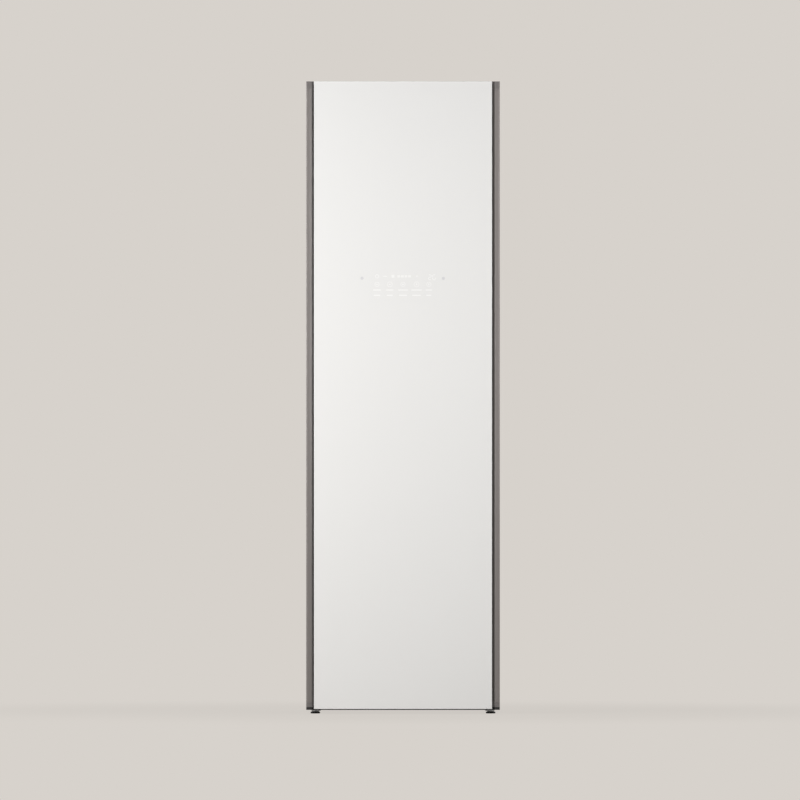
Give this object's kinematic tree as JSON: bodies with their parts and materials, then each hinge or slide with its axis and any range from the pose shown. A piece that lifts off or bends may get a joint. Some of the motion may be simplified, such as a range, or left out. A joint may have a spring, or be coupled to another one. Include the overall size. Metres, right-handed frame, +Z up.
{
  "type": "clothes care steam cabinet",
  "caption": "Tall free-standing clothes care steam cabinet with a full-height glass door, a moving hanger rail, a trouser press and lift-out water tanks.",
  "frame": {"origin": "middle of the footprint on the floor", "axes": "+Z up, +Y towards the back, +X to the right of someone who faces the door"},
  "size_m": [0.6, 0.596, 1.96],
  "materials": {
    "glass_front": "gloss, painted white on its back",
    "door_metal": "satin dark grey anodised",
    "door_caps": "satin dark grey moulding",
    "case_paint": "fine-texture dark grey powder coat",
    "zinc_steel": "zinc-coated sheet",
    "bright_steel": "polished",
    "black_metal": "semi-gloss black paint",
    "fin_metal": "coated fins",
    "boiler_shell": "heat-resistant moulding",
    "light_plastic": "satin light grey moulding",
    "dark_plastic": "satin dark moulding",
    "black_plastic": "matte black moulding",
    "liner_white": "smooth off-white moulding",
    "tank_clear": "smoky clear moulding",
    "lamp_lens": "opal",
    "circuit": "coated circuit board and its box",
    "foam": "rigid foam",
    "press_cloth": "woven heat-resistant cloth over foam",
    "seal_rubber": "matte bellows seal",
    "hose_rubber": "matte"
  },
  "bodies": {
    "cabinet": {"side_panel_left": "case_paint", "side_panel_right": "case_paint", "top_panel": "case_paint", "back_panel": "zinc_steel", "machine_cover": "zinc_steel", "base_frame": "zinc_steel", "front_frame": "light_plastic", "insulation": "foam", "inner_liner": "liner_white", "liner_ceiling": "liner_white", "chamber_floor": "light_plastic", "lamp_lens": "lamp_lens", "drive_chassis": "zinc_steel", "guide_rod": "bright_steel", "drive_motor": "black_metal", "drive_cover": "light_plastic", "control_box": "circuit", "tank_bay": "light_plastic", "air_grille": "light_plastic", "steam_nozzle": "dark_plastic", "steam_generator": "boiler_shell", "steam_hose": "hose_rubber", "water_pump": "black_plastic", "compressor": "black_metal", "evaporator": "fin_metal", "condenser": "fin_metal", "blower_housing": "dark_plastic", "blower_motor": "zinc_steel", "cable_gland": "hose_rubber", "hinge_bracket_top": "zinc_steel", "hinge_bracket_bottom": "zinc_steel"},
    "door": {"door_glass": "glass_front", "door_trim_left": "door_metal", "door_trim_right": "door_metal", "door_top_cap": "door_caps", "door_bottom_cap": "door_caps", "door_foam": "foam", "door_liner": "liner_white", "door_gasket": "seal_rubber", "display_board": "circuit", "press_pad": "press_cloth"},
    "press_cover": {"press_cover": "light_plastic"},
    "press_latch": {"press_latch": "dark_plastic"},
    "clip_left": {"trouser_clip_left": "dark_plastic"},
    "clip_right": {"trouser_clip_right": "dark_plastic"},
    "crank": {"crank_disc": "bright_steel"},
    "hanger": {"hanger_carriage": "light_plastic", "hanger_bar": "bright_steel"},
    "shelf": {"shelf": "light_plastic"},
    "fill_tank": {"fill_tank": "tank_clear"},
    "fill_lid": {"fill_tank_lid": "light_plastic"},
    "drain_tank": {"drain_tank": "tank_clear"},
    "drain_lid": {"drain_tank_lid": "light_plastic"},
    "filter": {"lint_filter": "light_plastic"},
    "scent": {"aroma_holder": "dark_plastic"},
    "wheel": {"blower_wheel": "light_plastic"},
    "foot_fl": {"foot_front_left": "black_plastic"},
    "foot_fr": {"foot_front_right": "black_plastic"},
    "foot_rl": {"foot_rear_left": "black_plastic"},
    "foot_rr": {"foot_rear_right": "black_plastic"}
  },
  "joints": [
    {"name": "door_hinge", "type": "hinge", "parent": "cabinet", "child": "door", "pos_m": [0.288, -0.262, 1], "axis": [0, 0, 1], "range_deg": [0, 110]},
    {"name": "press_cover_hinge", "type": "hinge", "parent": "door", "child": "press_cover", "pos_m": [0.174, -0.2137, 1.1], "axis": [0, 0, -1], "range_deg": [0, 95]},
    {"name": "press_latch_turn", "type": "hinge", "parent": "door", "child": "press_latch", "pos_m": [-0.182, -0.22, 1.1], "axis": [0, -1, 0], "range_deg": [0, 90]},
    {"name": "clip_left_spring", "type": "hinge", "parent": "door", "child": "clip_left", "pos_m": [-0.08, -0.2207, 1.544], "axis": [1, 0, 0], "range_deg": [0, 25], "stiffness_Nm_per_rad": 0.2, "springref_deg": -17.19},
    {"name": "clip_right_spring", "type": "hinge", "parent": "door", "child": "clip_right", "pos_m": [0.08, -0.2207, 1.544], "axis": [1, 0, 0], "range_deg": [0, 25], "stiffness_Nm_per_rad": 0.2, "springref_deg": -17.19},
    {"name": "hanger_slide", "type": "slide", "parent": "cabinet", "child": "hanger", "axis": [1, 0, 0], "range_m": [-0.012, 0.012]},
    {"name": "crank_spin", "type": "hinge", "parent": "cabinet", "child": "crank", "pos_m": [0, 0.062, 1.87], "axis": [0, 0, 1], "continuous": true},
    {"name": "blower_spin", "type": "hinge", "parent": "cabinet", "child": "wheel", "pos_m": [-0.145, 0.18, 0.15], "axis": [1, 0, 0], "continuous": true},
    {"name": "shelf_lift", "type": "slide", "parent": "cabinet", "child": "shelf", "axis": [0, 0, 1], "range_m": [0, 0.03]},
    {"name": "fill_tank_lift", "type": "slide", "parent": "cabinet", "child": "fill_tank", "axis": [0, 0, 1], "range_m": [0, 0.16]},
    {"name": "drain_tank_lift", "type": "slide", "parent": "cabinet", "child": "drain_tank", "axis": [0, 0, 1], "range_m": [0, 0.16]},
    {"name": "fill_lid_hinge", "type": "hinge", "parent": "fill_tank", "child": "fill_lid", "pos_m": [0.12675, -0.0847, 0.32145], "axis": [-1, 0, 0], "range_deg": [0, 95]},
    {"name": "drain_lid_hinge", "type": "hinge", "parent": "drain_tank", "child": "drain_lid", "pos_m": [-0.12675, -0.0847, 0.32145], "axis": [-1, 0, 0], "range_deg": [0, 95]},
    {"name": "filter_lift", "type": "slide", "parent": "cabinet", "child": "filter", "axis": [0, 0, 1], "range_m": [0, 0.14]},
    {"name": "scent_lift", "type": "slide", "parent": "cabinet", "child": "scent", "axis": [0, 0, 1], "range_m": [0, 0.045]},
    {"name": "foot_front_left_turn", "type": "hinge", "parent": "cabinet", "child": "foot_fl", "pos_m": [-0.272, -0.212, 0.01], "axis": [0, 0, 1], "continuous": true},
    {"name": "foot_front_right_turn", "type": "hinge", "parent": "cabinet", "child": "foot_fr", "pos_m": [0.272, -0.212, 0.01], "axis": [0, 0, 1], "continuous": true},
    {"name": "foot_rear_left_turn", "type": "hinge", "parent": "cabinet", "child": "foot_rl", "pos_m": [-0.272, 0.23, 0.01], "axis": [0, 0, 1], "continuous": true},
    {"name": "foot_rear_right_turn", "type": "hinge", "parent": "cabinet", "child": "foot_rr", "pos_m": [0.272, 0.23, 0.01], "axis": [0, 0, 1], "continuous": true}
  ]
}
